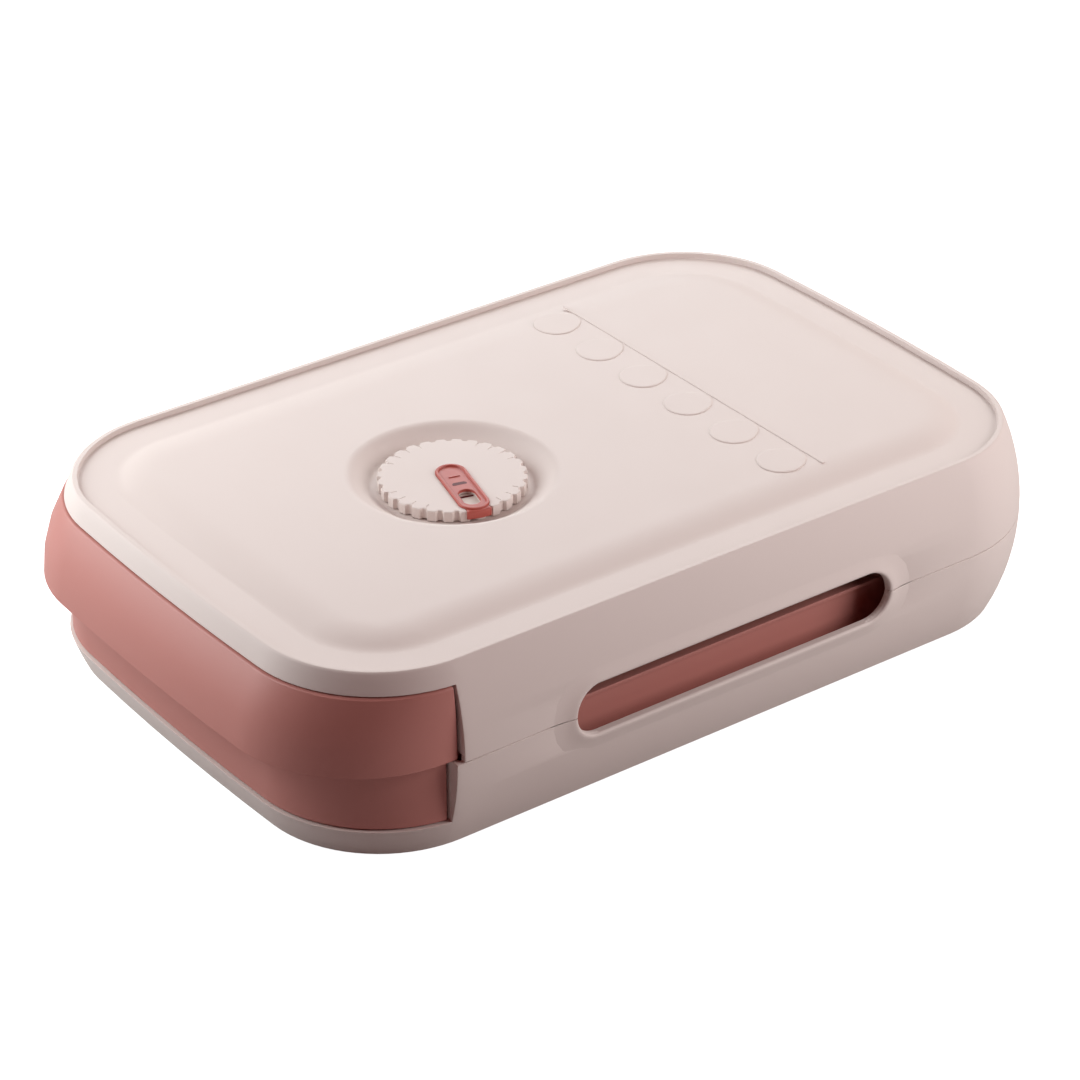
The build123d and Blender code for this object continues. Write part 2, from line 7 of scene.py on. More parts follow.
# %% Load the frame
import bmesh
import bpy
import json
from math import atan2, cos, degrees, hypot, pi, radians, sin, sqrt
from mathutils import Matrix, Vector

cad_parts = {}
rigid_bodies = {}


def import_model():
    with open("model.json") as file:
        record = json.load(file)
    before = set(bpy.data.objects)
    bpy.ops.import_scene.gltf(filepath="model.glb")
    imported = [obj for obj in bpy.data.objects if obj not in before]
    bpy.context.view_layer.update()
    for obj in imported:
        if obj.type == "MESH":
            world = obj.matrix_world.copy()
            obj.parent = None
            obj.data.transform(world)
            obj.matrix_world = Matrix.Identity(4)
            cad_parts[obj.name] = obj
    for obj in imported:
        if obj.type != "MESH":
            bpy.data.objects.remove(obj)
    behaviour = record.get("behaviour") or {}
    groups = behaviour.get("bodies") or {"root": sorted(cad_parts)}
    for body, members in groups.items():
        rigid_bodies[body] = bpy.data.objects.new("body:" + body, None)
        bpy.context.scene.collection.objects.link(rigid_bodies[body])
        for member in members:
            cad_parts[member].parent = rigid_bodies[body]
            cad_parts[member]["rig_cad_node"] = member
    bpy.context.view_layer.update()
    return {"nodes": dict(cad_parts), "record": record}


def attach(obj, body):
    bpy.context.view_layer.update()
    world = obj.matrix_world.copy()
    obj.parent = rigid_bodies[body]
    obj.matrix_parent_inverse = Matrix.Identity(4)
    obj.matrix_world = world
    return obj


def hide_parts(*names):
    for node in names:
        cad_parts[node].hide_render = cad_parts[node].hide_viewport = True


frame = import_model()
nodes = frame["nodes"]
MM = 0.001
print("nodes:", sorted(nodes))

# %% [markdown]
# ## Camera
# A product portrait is taken from far off with a long lens, so that the box keeps its true proportions.
# The camera stands in front of the drawer and to the right, and looks down at thirty degrees.  It is
# aimed by its direction: the quaternion that points its -Z along the line of sight keeps it level.

# %% Camera
camera_azimuth = radians(53.433)
camera_elevation = radians(30.255)
camera_distance = 1405.305 * MM
camera_target = Vector((6.154, -3.664, 37.188)) * MM
camera_lens = 125.71
sight = Vector((-sin(camera_azimuth) * cos(camera_elevation),
                cos(camera_azimuth) * cos(camera_elevation), -sin(camera_elevation)))
bpy.ops.object.camera_add(location=camera_target - sight * camera_distance,
                          rotation=sight.to_track_quat("-Z", "Y").to_euler())
camera = bpy.context.object
camera.data.lens = camera_lens
camera.data.sensor_width = 36
camera.data.clip_end = 20
bpy.context.scene.camera = camera
print("camera at", [round(value, 3) for value in camera.location])

# %% [markdown]
# ## Light
# Four soft lamps stand close to the box and none stands near the camera.  The one on the left grazes
# the drawer's front, so the round corner that points at the camera falls away into shade.  One on the
# right half lights the long side, and two behind rim the far edges and shade the dial's dish.  Their
# panels are hidden from the camera, which may look from any side.

# %% Light
scene = bpy.context.scene
scene.view_settings.view_transform = "Standard"
lamp_side = 0.5


def soft_lamp(name, bearing, elevation, distance, power, colour):
    """A square lamp on a bearing from the camera's own, at a height in degrees, aimed at the box."""
    turn = camera_azimuth + radians(bearing)
    rise = radians(elevation)
    place = Vector((sin(turn) * cos(rise), -cos(turn) * cos(rise), sin(rise))) * distance
    aim = (camera_target - place).to_track_quat("-Z", "Y").to_euler()
    bpy.ops.object.light_add(type="AREA", location=place, rotation=aim)
    lamp = bpy.context.object
    lamp.name = name
    lamp.data.size = lamp_side
    lamp.data.energy = power
    lamp.data.color = colour
    lamp.visible_camera = False


soft_lamp("left_lamp", -95, 31, 0.6, 3.45, (0.95, 1.0, 1.0))
soft_lamp("right_lamp", 75, 28, 0.8, 3.75, (1.0, 0.97, 0.96))
soft_lamp("back_lamp", 180, 30, 1.0, 3.5, (0.9, 0.97, 1.0))
soft_lamp("far_right_lamp", 150, 40, 1.0, 2.1, (0.97, 1.0, 0.93))

# %% [markdown]
# ## Sky
# The lamps alone would leave the shades too dark.  A fifth lamp could fill them, but it would cast a
# shadow of its own, so a faint warm sky does it.  The camera sees plain white behind the box instead,
# which the light path node picks out, and that white gives no light.

# %% Sky
world = bpy.data.worlds.new("studio_sky")
scene.world = world
world.use_nodes = True
sky = world.node_tree.nodes
links = world.node_tree.links
sky.clear()
path = sky.new("ShaderNodeLightPath")
even_light = sky.new("ShaderNodeBackground")
even_light.inputs["Color"].default_value = (1.0, 0.2, 0.17, 1)
even_light.inputs["Strength"].default_value = 0.1
white_back = sky.new("ShaderNodeBackground")
white_back.inputs["Color"].default_value = (1, 1, 1, 1)
white_back.inputs["Strength"].default_value = 1.0
pick_light = sky.new("ShaderNodeMixShader")
out = sky.new("ShaderNodeOutputWorld")
links.new(path.outputs["Is Camera Ray"], pick_light.inputs["Fac"])
links.new(even_light.outputs[0], pick_light.inputs[1])
links.new(white_back.outputs[0], pick_light.inputs[2])
links.new(pick_light.outputs[0], out.inputs["Surface"])
print("sky strength:", round(even_light.inputs["Strength"].default_value, 2))

# %% [markdown]
# ## Floor
# The box stands on a plain pale sweep that throws some light back up at it.  A glow that only the
# camera sees lifts the floor to white without putting any more light on the box.

# %% Floor
bpy.ops.mesh.primitive_plane_add(size=8, location=(0, 0, 0))
floor = bpy.context.object
floor.name = "floor"
paper = bpy.data.materials.new("floor_paper")
paper.use_nodes = True
paper_nodes, paper_links = paper.node_tree.nodes, paper.node_tree.links
paper_skin = paper_nodes["Principled BSDF"]
paper_skin.inputs["Base Color"].default_value = (0.46, 0.46, 0.46, 1)
paper_skin.inputs["Roughness"].default_value = 0.9
paper_skin.inputs["Specular IOR Level"].default_value = 0.1
paper_skin.inputs["Emission Color"].default_value = (1, 1, 1, 1)
paper_path = paper_nodes.new("ShaderNodeLightPath")
paper_links.new(paper_path.outputs["Is Camera Ray"], paper_skin.inputs["Emission Strength"])
floor.data.materials.append(paper)
print("floor", [round(value, 2) for value in floor.dimensions])

# %% [markdown]
# ## Moulded plastic
# Every plastic piece comes out of a mould whose walls have a fine spark-worn texture.  Close up it has
# a faint grain, its gloss drifts a little from place to place, and its colour clouds by a percent or
# two.  One node group makes all three from noise in object space, and each finish sets its own amounts.

# %% The shared grain of moulded pieces
def moulded_grain_group():
    """A node group: a clouded colour, a drifting roughness and a bump height from noise."""
    group = bpy.data.node_groups.new("moulded_grain", "ShaderNodeTree")
    for label, kind, value in (("Colour", "NodeSocketColor", (0.8, 0.8, 0.8, 1)),
                               ("Cloud Amount", "NodeSocketFloat", 0.03),
                               ("Roughness", "NodeSocketFloat", 0.45),
                               ("Roughness Drift", "NodeSocketFloat", 0.08)):
        socket = group.interface.new_socket(label, in_out="INPUT", socket_type=kind)
        socket.default_value = value
    for label, kind in (("Colour", "NodeSocketColor"), ("Roughness", "NodeSocketFloat"),
                        ("Height", "NodeSocketFloat")):
        group.interface.new_socket(label, in_out="OUTPUT", socket_type=kind)
    make, link = group.nodes.new, group.links.new
    given, result = make("NodeGroupInput"), make("NodeGroupOutput")
    place = make("ShaderNodeTexCoord")
    cloud, drift, grain = [make("ShaderNodeTexNoise") for _ in range(3)]
    for noise, size, detail in ((cloud, 18.0, 3.0), (drift, 55.0, 4.0), (grain, 1600.0, 2.0)):
        link(place.outputs["Object"], noise.inputs["Vector"])
        noise.inputs["Scale"].default_value = size
        noise.inputs["Detail"].default_value = detail
    # the cloud lightens and darkens the colour by the given amount
    swing = make("ShaderNodeMath")
    swing.operation = "SUBTRACT"
    swing.inputs[1].default_value = 0.5
    link(cloud.outputs["Fac"], swing.inputs[0])
    shade = make("ShaderNodeMath")
    shade.operation = "MULTIPLY_ADD"
    shade.inputs[2].default_value = 1.0
    link(swing.outputs[0], shade.inputs[0])
    link(given.outputs["Cloud Amount"], shade.inputs[1])
    tint = make("ShaderNodeVectorMath")
    tint.operation = "SCALE"
    link(given.outputs["Colour"], tint.inputs[0])
    link(shade.outputs[0], tint.inputs["Scale"])
    # the gloss drifts around its set value
    wander = make("ShaderNodeMath")
    wander.operation = "SUBTRACT"
    wander.inputs[1].default_value = 0.5
    link(drift.outputs["Fac"], wander.inputs[0])
    gloss = make("ShaderNodeMath")
    gloss.operation = "MULTIPLY_ADD"
    link(wander.outputs[0], gloss.inputs[0])
    link(given.outputs["Roughness Drift"], gloss.inputs[1])
    link(given.outputs["Roughness"], gloss.inputs[2])
    link(tint.outputs[0], result.inputs["Colour"])
    link(gloss.outputs[0], result.inputs["Roughness"])
    link(grain.outputs["Fac"], result.inputs["Height"])
    return group


moulded_grain = moulded_grain_group()
print("moulded_grain:", len(moulded_grain.nodes), "nodes")

# %% [markdown]
# ## One plastic finish
# A finish joins the shared grain to the shader of a satin plastic.  Its colour is given as three values
# from 0 to 255, as most people know them.  Shaders work in linear light, so a helper turns them into
# that first.

# %% A plastic finish from the shared grain
grain_depth = 0.05


def linear(red, green, blue):
    """A colour given as 0 to 255 each, as the linear value that shaders work in."""
    def one(value):
        share = value / 255
        return share / 12.92 if share <= 0.04045 else ((share + 0.055) / 1.055) ** 2.4
    return (one(red), one(green), one(blue), 1)


def moulded(name, colour, roughness, cloud, bump):
    """A satin plastic whose colour, gloss and grain come from the shared group."""
    material = bpy.data.materials.new(name)
    material.use_nodes = True
    make, link = material.node_tree.nodes.new, material.node_tree.links.new
    skin = material.node_tree.nodes["Principled BSDF"]
    grain = make("ShaderNodeGroup")
    grain.node_tree = moulded_grain
    grain.inputs["Colour"].default_value = colour
    grain.inputs["Cloud Amount"].default_value = cloud
    grain.inputs["Roughness"].default_value = roughness
    relief = make("ShaderNodeBump")
    relief.inputs["Strength"].default_value = bump
    relief.inputs["Distance"].default_value = grain_depth * MM
    link(grain.outputs["Colour"], skin.inputs["Base Color"])
    link(grain.outputs["Roughness"], skin.inputs["Roughness"])
    link(grain.outputs["Height"], relief.inputs["Height"])
    link(relief.outputs["Normal"], skin.inputs["Normal"])
    skin.inputs["Specular IOR Level"].default_value = 0.4
    return material


print("linear value of 128:", round(linear(128, 128, 128)[0], 3))

# %% [markdown]
# ## The finishes
# The housing is pale satin plastic, the drawer and the pointer are tinted, the feet are soft rubber and
# the screw is bare steel.  Each could have nodes of its own, but the plastics differ only in colour,
# gloss, clouding and depth of grain, so one helper makes them all from the shared group.  Every solid
# then takes the finish that its record names, and the pieces made later share the same ones.

# %% The finishes and which solid wears which
finishes = {
    "cover_plastic": moulded("cover_plastic", linear(229, 218, 213), 0.56, 0.03, 0.25),
    "drawer_plastic": moulded("drawer_plastic", linear(196, 132, 124), 0.42, 0.05, 0.25),
    "tray_plastic": moulded("tray_plastic", linear(236, 226, 221), 0.40, 0.03, 0.20),
    "pointer_plastic": moulded("pointer_plastic", linear(186, 93, 83), 0.40, 0.04, 0.15),
    "date_card": moulded("date_card", linear(234, 226, 218), 0.55, 0.02, 0.10),
    "washer_plastic": moulded("washer_plastic", linear(222, 219, 214), 0.50, 0.03, 0.20),
    "foot_rubber": moulded("foot_rubber", linear(206, 196, 190), 0.80, 0.08, 0.60),
}
steel = bpy.data.materials.new("screw_steel")
steel.use_nodes = True
steel_skin = steel.node_tree.nodes["Principled BSDF"]
steel_grain = steel.node_tree.nodes.new("ShaderNodeGroup")
steel_grain.node_tree = moulded_grain
steel_grain.inputs["Colour"].default_value = linear(205, 205, 208)
steel_grain.inputs["Cloud Amount"].default_value = 0.1
steel_grain.inputs["Roughness"].default_value = 0.32
steel.node_tree.links.new(steel_grain.outputs["Colour"], steel_skin.inputs["Base Color"])
steel.node_tree.links.new(steel_grain.outputs["Roughness"], steel_skin.inputs["Roughness"])
steel_skin.inputs["Metallic"].default_value = 1.0
finishes["screw_steel"] = steel
ink = moulded("number_ink", linear(92, 22, 26), 0.5, 0.05, 0.1)

slot_of = {part["node"]: part["material_slot"] for part in frame["record"]["subparts"]}
body_of_node = {name: body for body, names in frame["record"]["behaviour"]["bodies"].items()
                for name in names}
for name, node in nodes.items():
    node.data.materials.clear()
    node.data.materials.append(finishes[slot_of[name]])
print("finishes:", sorted(finishes))

# %% [markdown]
# ## Ways of working
# Each new piece starts as an empty mesh at the origin, so that its place is in its vertices.  Parts of
# it could be picked by their number, but numbers change with every edit, so they are picked by their
# place.  All shapes are written in millimetres.

# %% Helpers that begin a piece and pick its parts
def deselect():
    """Back to object mode with nothing selected, so that an operator acts only on what comes next."""
    if bpy.context.object and bpy.context.object.mode != "OBJECT":
        bpy.ops.object.mode_set(mode="OBJECT")
    bpy.ops.object.select_all(action="DESELECT")


def hold(piece):
    """Makes a piece the only selected one, and the active one."""
    deselect()
    piece.select_set(True)
    bpy.context.view_layer.objects.active = piece


def begin(name):
    """An empty piece at the origin, open in edit mode."""
    deselect()
    bpy.ops.object.add(type="MESH")
    piece = bpy.context.object
    piece.name = piece.data.name = name
    bpy.ops.object.mode_set(mode="EDIT")
    return piece


def pick(test, kind="VERT"):
    """Selects only the vertices, edges or faces whose middle, in millimetres, passes a test."""
    bpy.ops.mesh.select_mode(type=kind)
    bpy.ops.mesh.select_all(action="DESELECT")
    mesh = bmesh.from_edit_mesh(bpy.context.object.data)
    parts = {"VERT": mesh.verts, "EDGE": mesh.edges, "FACE": mesh.faces}[kind]
    for part in parts:
        corners = [part] if kind == "VERT" else part.verts
        middle = sum((corner.co for corner in corners), Vector()) / len(corners) / MM
        part.select_set(bool(test(middle)))
    mesh.select_flush_mode()
    bmesh.update_edit_mesh(bpy.context.object.data)


# %% [markdown]
# ## Rings and outlines
# A ring of vertices is added, extruded and scaled from one outline point to the next, which is how most
# moulded and turned forms are made.  A round piece could also be spun from its outline, but a carried
# ring can be pulled out of round halfway, which the slot's edge and the pointer need.

# %% Helpers that carry a ring along an outline
def carry(points, scaled=(1, 1, 0), along=(0, 0, 1), centre=(0, 0, 0)):
    """Extrudes the selected ring through (radius, height) points, in millimetres, one new ring each."""
    for (last_radius, last_height), (radius, height) in zip(points, points[1:]):
        move = Vector(along) * (height - last_height) * MM
        bpy.ops.mesh.extrude_region_move(TRANSFORM_OT_translate={"value": move})
        factor = radius / last_radius
        size = [factor if axis else 1 for axis in scaled]
        bpy.ops.transform.resize(value=size, center_override=Vector(centre) * MM)


def arc(middle_radius, middle_height, radius, start, end, steps):
    """Points of an arc in the (radius, height) outline, at angles in degrees."""
    turns = [radians(start + (end - start) * step / steps) for step in range(steps + 1)]
    return [(middle_radius + radius * cos(turn), middle_height + radius * sin(turn)) for turn in turns]


def turned(name, points, corners):
    """A piece turned about Z from an outline of (radius, height) points, closed at both ends."""
    piece = begin(name)
    bpy.ops.mesh.primitive_circle_add(vertices=corners, radius=points[0][0] * MM,
                                      location=(0, 0, points[0][1] * MM))
    bpy.ops.mesh.edge_face_add()
    bpy.ops.mesh.select_mode(type="EDGE")
    bpy.ops.mesh.region_to_loop()
    carry(points)
    bpy.ops.mesh.edge_face_add()
    bpy.ops.mesh.select_all(action="SELECT")
    bpy.ops.mesh.normals_make_consistent(inside=False)
    return piece


print("a quarter arc in two steps:", [(round(x, 2), round(z, 2)) for x, z in arc(0, 0, 1, 0, 90, 2)])

# %% [markdown]
# ## Placing, cutting and finishing
# A piece is written into its place, cut by applied Booleans and rounded by an applied bevel, so that its
# mesh alone says what it is.  The finish is smooth shading that keeps flat faces flat.

# %% Helpers that place, cut and finish a piece
smooth_angle = 32


def settle(piece, place=(0, 0, 0), angle=0.0):
    """Turns a piece about Z, moves it to its place in millimetres, and writes both into its mesh."""
    hold(piece)
    piece.rotation_euler = (0, 0, radians(angle))
    piece.location = Vector(place) * MM
    bpy.ops.object.transform_apply(location=True, rotation=True, scale=True)


def cut_away(piece, cutter, operation="DIFFERENCE"):
    """Cuts, joins or intersects a piece with a cutter by an applied Boolean, and removes the cutter."""
    hold(piece)
    bpy.ops.object.modifier_add(type="BOOLEAN")
    cut = piece.modifiers[-1]
    cut.operation = operation
    cut.solver = "EXACT"
    cut.object = cutter
    bpy.ops.object.modifier_apply(modifier=cut.name)
    bpy.data.objects.remove(cutter)


def break_edges(piece, width, angle=38, segments=2):
    """Rounds every edge sharper than an angle by a small width in millimetres, and applies it."""
    hold(piece)
    bpy.ops.object.modifier_add(type="BEVEL")
    bevel = piece.modifiers[-1]
    bevel.width = width * MM
    bevel.segments = segments
    bevel.limit_method = "ANGLE"
    bevel.angle_limit = radians(angle)
    bevel.use_clamp_overlap = False
    bpy.ops.object.modifier_apply(modifier=bevel.name)


def finish(piece, finish_name, body, replaced=()):
    """Gives a piece its finish, smooth shading that keeps flat faces flat, and its body."""
    hold(piece)
    piece.data.materials.clear()
    piece.data.materials.append(finishes[finish_name])
    bpy.ops.object.shade_smooth_by_angle(angle=radians(smooth_angle))
    bpy.ops.object.modifier_add(type="WEIGHTED_NORMAL")
    weigh = piece.modifiers[-1]
    weigh.keep_sharp = True
    weigh.weight = 100
    bpy.ops.object.modifier_apply(modifier=weigh.name)
    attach(piece, body)
    if replaced:
        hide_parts(*replaced)
    low, high = [Vector(map(pick_end, *[corner.co for corner in piece.data.vertices]))
                 for pick_end in (min, max)]
    size = [round(side / MM, 1) for side in high - low]
    print(f"{piece.name}: {len(piece.data.polygons)} faces, {size} mm, rides on {body}")


# %% [markdown]
# ## The big mouldings
# The cover, the base and the drawer have the right shape already, but their edges are sharp as a knife,
# and no moulding leaves its tool like that.  Their own meshes may not be touched, so each gets a copy
# that stands for it.  The copy's loose triangles are merged, flat neighbours are dissolved into whole
# faces, and every real edge is rounded by a third of a millimetre or so, which is what catches the
# light.  The base's upper edge is lowered a little, so that the seam between the halves shows as a line.

# %% Copies of the big mouldings with broken edges
seam = 38.0
seam_opening = 0.2


def moulding(node_name, piece_name, edge_break, lowered_seam=False):
    """A merged copy of a solid with softly rounded edges, which stands for its node."""
    hold(nodes[node_name])
    bpy.ops.object.duplicate()
    piece = bpy.context.object
    piece.name = piece.data.name = piece_name
    del piece["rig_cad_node"]
    bpy.ops.object.mode_set(mode="EDIT")
    bpy.ops.mesh.select_all(action="SELECT")
    bpy.ops.mesh.remove_doubles(threshold=0.02 * MM)
    bpy.ops.mesh.customdata_custom_splitnormals_clear()
    bpy.ops.mesh.dissolve_limited(angle_limit=radians(0.4))
    if lowered_seam:
        pick(lambda at: abs(at.z - seam) < 0.01)
        bpy.ops.transform.translate(value=(0, 0, -seam_opening * MM))
    bpy.ops.object.mode_set(mode="OBJECT")
    break_edges(piece, edge_break)
    return piece


cover = moulding("top_cover", "cover_moulding", 0.3)
base = moulding("base_shell", "base_moulding", 0.3, lowered_seam=True)
drawer = moulding("drawer_tub", "drawer_moulding", 0.4)
print("vertices of the copies:", [len(piece.data.vertices) for piece in (cover, base, drawer)])

# %% [markdown]
# ## The dial's dish
# The dial sits in a dish in the roof: a rounded shoulder, a straight flank and a soft blend to a flat
# floor.  The dish could be turned afresh and let in, but the copy of the cover has rings of vertices
# there already.  So each ring only moves to its share of the way in, and takes the height that the
# outline has at that radius.

# %% The dish's flank, and the big mouldings' finishes
roof = 75.4
dial_axis = (0.0, -38.75, 0.0)
dish_floor, dish_floor_edge, dish_edge = 69.4, 28.6, 38.9
shoulder_start, shoulder_end, blend_start = 40.2, 36.7, 31.1
dish_wall, under_slope, under_margin = 2, 0.63, 0.8


def dish_height(radius):
    """The dish's height at a radius: a rounded shoulder, a straight flank, and a blend to the floor."""
    spans = ((shoulder_start, shoulder_end), (shoulder_end, blend_start), (blend_start, dish_floor_edge))
    rounded, straight, blended = [min(max((outer - radius) / (outer - inner), 0), 1) * (outer - inner)
                                  for outer, inner in spans]
    shoulder, flank, blend = [outer - inner for outer, inner in spans]
    full = shoulder / 2 + flank + blend / 2
    fallen = rounded ** 2 / shoulder / 2 + straight + blended - blended ** 2 / blend / 2
    return roof - (roof - dish_floor) * fallen / full


def shape_dish(piece):
    """Lays the rings of the dish's flank along its outline, from the roof down to the floor."""
    rings = {}
    for corner in piece.data.vertices:
        x, y, z = corner.co / MM
        radius = hypot(x - dial_axis[0], y - dial_axis[1])
        under = dish_floor - dish_wall + under_slope * (radius - dish_floor_edge)
        if dish_floor_edge - 0.05 < radius < dish_edge and z > under + under_margin:
            rings.setdefault(round(z, 1), []).append((corner, radius))
    for step, height in enumerate(sorted(rings, reverse=True)):
        radius = shoulder_start - (shoulder_start - dish_floor_edge) * step / (len(rings) - 1)
        for corner, old_radius in rings[height]:
            corner.co.x = (dial_axis[0] + (corner.co.x / MM - dial_axis[0]) * radius / old_radius) * MM
            corner.co.y = (dial_axis[1] + (corner.co.y / MM - dial_axis[1]) * radius / old_radius) * MM
            corner.co.z = dish_height(radius) * MM
    return len(rings)


print("rings on the dish's flank:", shape_dish(cover))
finish(cover, "cover_plastic", body_of_node["top_cover"], ["top_cover"])
finish(base, "cover_plastic", body_of_node["base_shell"], ["base_shell"])
finish(drawer, "drawer_plastic", body_of_node["drawer_tub"], ["drawer_tub"])

# %% [markdown]
# ## The slot's rolled edges
# Each side slot is framed by a soft roll: the wall swells towards the slot and curls into it.  On the
# solid this is only a plain collar, so its vertices on the copies are first drawn in under the wall's
# own curve.  The roll is then made from a ring laid round the slot's end circle, carried outwards along
# the swelling's outline, and pulled apart at the middle to the slot's length.  The ring is then split
# at the seam, and last every vertex is drawn in by as much as the bulged wall falls back at its height.

# %% The rolled slot edges
half_width = 112.5
bulge_radius = 87.5
slot_middle = 4.65
slot_reach = 60.8
slot_end_radius = 10.2
collar_width = 3.0
roll_radius = 1.15
roll_out, roll_proud = slot_end_radius + roll_radius, 0.72
roll = [(slot_end_radius - 0.02, -2.6),
        *arc(roll_out, roll_proud - roll_radius, roll_radius, 180, 90, 6)]
swell = [(slot_end_radius + reach, height) for reach, height in
         ((1.6, 0.70), (2.2, 0.61), (3.0, 0.45), (3.9, 0.27), (4.9, 0.11), (6.0, -0.02), (7.2, -0.12),
          (8.6, -0.20), (10.0, -0.25), (11.6, -0.30), (11.6, -0.8), (2.0, -2.6))]
roll_seams = {True: seam + 0.12, False: seam - seam_opening}


def wall_fall(height):
    """How far the bulged wall has fallen back from its widest place at a height."""
    return bulge_radius - sqrt(bulge_radius ** 2 - (height - seam) ** 2)


def lower_collar(piece):
    """Draws the collar's vertices round both slots in under the wall's curve."""
    moved = 0
    for corner in piece.data.vertices:
        x, y, z = corner.co / MM
        level = half_width - wall_fall(z) - 0.3
        beyond = max(abs(y - slot_middle) - slot_reach, 0)
        if hypot(beyond, z - seam) < slot_end_radius + collar_width and abs(x) > level:
            corner.co.x = level * MM * (1 if x > 0 else -1)
            moved += 1
    return moved


print("collar vertices drawn in:", lower_collar(cover), "and", lower_collar(base))


def slot_roll(name, side, keep_above):
    """Half of the rolled edge round one side's slot, above or below the seam."""
    piece = begin(name)
    outline = roll + swell
    start = Vector((side * (half_width + outline[0][1]), slot_middle, seam))
    bpy.ops.mesh.primitive_circle_add(vertices=96, radius=outline[0][0] * MM,
                                      location=start * MM, rotation=(0, pi / 2, 0))
    carry(outline, scaled=(0, 1, 1), along=(side, 0, 0), centre=start)
    pick(lambda at: abs(at.x * side - half_width - outline[0][1]) < 0.01, "EDGE")
    bpy.ops.mesh.bridge_edge_loops()
    for end in (-1, 1):
        pick(lambda at: (at.y - slot_middle) * end > 0.05)
        bpy.ops.transform.translate(value=(0, end * slot_reach * MM, 0))
    bpy.ops.mesh.select_all(action="SELECT")
    bpy.ops.mesh.bisect(plane_co=(0, 0, roll_seams[keep_above] * MM), plane_no=(0, 0, 1), use_fill=True,
                        clear_inner=keep_above, clear_outer=not keep_above)
    bpy.ops.mesh.select_all(action="SELECT")
    bpy.ops.mesh.normals_make_consistent(inside=False)
    bpy.ops.object.mode_set(mode="OBJECT")
    for corner in piece.data.vertices:
        corner.co.x -= side * wall_fall(corner.co.z / MM) * MM
    break_edges(piece, 0.2, 60, 2)
    return piece


for side, side_name in ((-1, "left"), (1, "right")):
    finish(slot_roll(f"cover_slot_roll_{side_name}", side, True), "cover_plastic", "sleeve")
    finish(slot_roll(f"base_slot_roll_{side_name}", side, False), "cover_plastic", "sleeve")

# %% [markdown]
# ## Relief on the roof
# A keeper says what it holds.  Behind the dial the roof carries a fine rule and a row of six plain egg
# shapes, raised by a third of a millimetre.  Each egg starts as a disc of rings, its tip is drawn out
# and its middle raised, and one egg is copied along the row.

# %% Rule and egg shapes on the roof
egg_row = [-72 + 27.4 * place for place in range(6)]
egg_row_y = 62.0
egg_radius = 9.0
tip_stretch, blunt_stretch, tip_narrowing = 1.18, 0.98, 0.1
rule_middle, rule_reach = (-3.5, 73.9), 78.5
egg_outline = [(egg_radius, -0.15), (egg_radius, 0.12), (8.85, 0.26), (8.55, 0.34), (8.1, 0.36),
               (6.2, 0.37), (3.5, 0.38)]


def roof_egg(name, x, y):
    """A low raised egg shape whose narrow end points to the rear."""
    piece = begin(name)
    bpy.ops.mesh.primitive_circle_add(vertices=56, radius=egg_outline[0][0] * MM,
                                      location=(0, 0, egg_outline[0][1] * MM))
    carry(egg_outline)
    bpy.ops.mesh.edge_face_add()
    bpy.ops.object.mode_set(mode="OBJECT")
    for corner in piece.data.vertices:
        corner.co.y *= tip_stretch if corner.co.y > 0 else blunt_stretch
        corner.co.x *= 1 - tip_narrowing * corner.co.y / (egg_radius * MM) * (corner.co.y > 0)
    settle(piece, (x, y, roof))
    return piece


relief = [roof_egg("roof_relief", egg_row[0], egg_row_y)]
relief += [roof_egg(f"egg_{place}", x, egg_row_y) for place, x in enumerate(egg_row) if place]
rule = begin("rule")
bpy.ops.mesh.primitive_circle_add(vertices=24, radius=0.75 * MM, location=(0, 0, -0.15 * MM))
carry([(0.75, -0.15), (0.75, 0.15), (0.62, 0.27), (0.4, 0.32)])
bpy.ops.mesh.edge_face_add()
for end in (-1, 1):
    pick(lambda at: at.x * end > 0.02)
    bpy.ops.transform.translate(value=(end * rule_reach * MM, 0, 0))
settle(rule, (*rule_middle, roof))
deselect()
for piece in [*relief, rule]:
    piece.select_set(True)
bpy.context.view_layer.objects.active = relief[0]
bpy.ops.object.join()
finish(relief[0], "cover_plastic", "sleeve")

# %% [markdown]
# ## The dial's wheel
# The wheel is a turned cap: a hub, a thin plate and a thick rim.  It is made as on a lathe, from a ring
# of vertices carried round its outline, with eight vertices to each notch, so that drawing three of
# every eight in towards the axis leaves twenty-eight even notches.  Fine ticks are sunk into its top.

# %% The knurled wheel
pointer_angle = -15.0
notches = 28
per_notch = 8
wheel_radius = 27.5
notch_root = 26.25
notch_steps = (3, 4, 5)
tick_inner, tick_outer = 23.2, 25.6
tick_every, tick_margin, tick_depth = 4, 0.09, 0.16
wheel_top = 73.9
plate_under = 72.3
rim_low = 69.7
rim_inner = 25.1
hub_low = 67.0
edge_round = 0.55
wheel_outline = [
    (1.5, plate_under - 0.1), (1.5, hub_low), (5.72, hub_low), (5.92, hub_low + 0.2),
    (5.92, plate_under), (rim_inner, plate_under), (rim_inner, rim_low + 0.2),
    (rim_inner + 0.2, rim_low), (wheel_radius - 0.25, rim_low), (wheel_radius, rim_low + 0.25),
    *arc(wheel_radius - edge_round, wheel_top - edge_round, edge_round, 0, 90, 4),
    (tick_outer, wheel_top), (tick_inner, wheel_top), (21.0, wheel_top)]
wheel = turned("wheel", wheel_outline, notches * per_notch)


def step_of(at):
    """Which of the eight steps of its notch a place on the wheel belongs to."""
    share = (degrees(atan2(at.y, at.x)) * notches * per_notch / 360) % per_notch
    return round(share) % per_notch


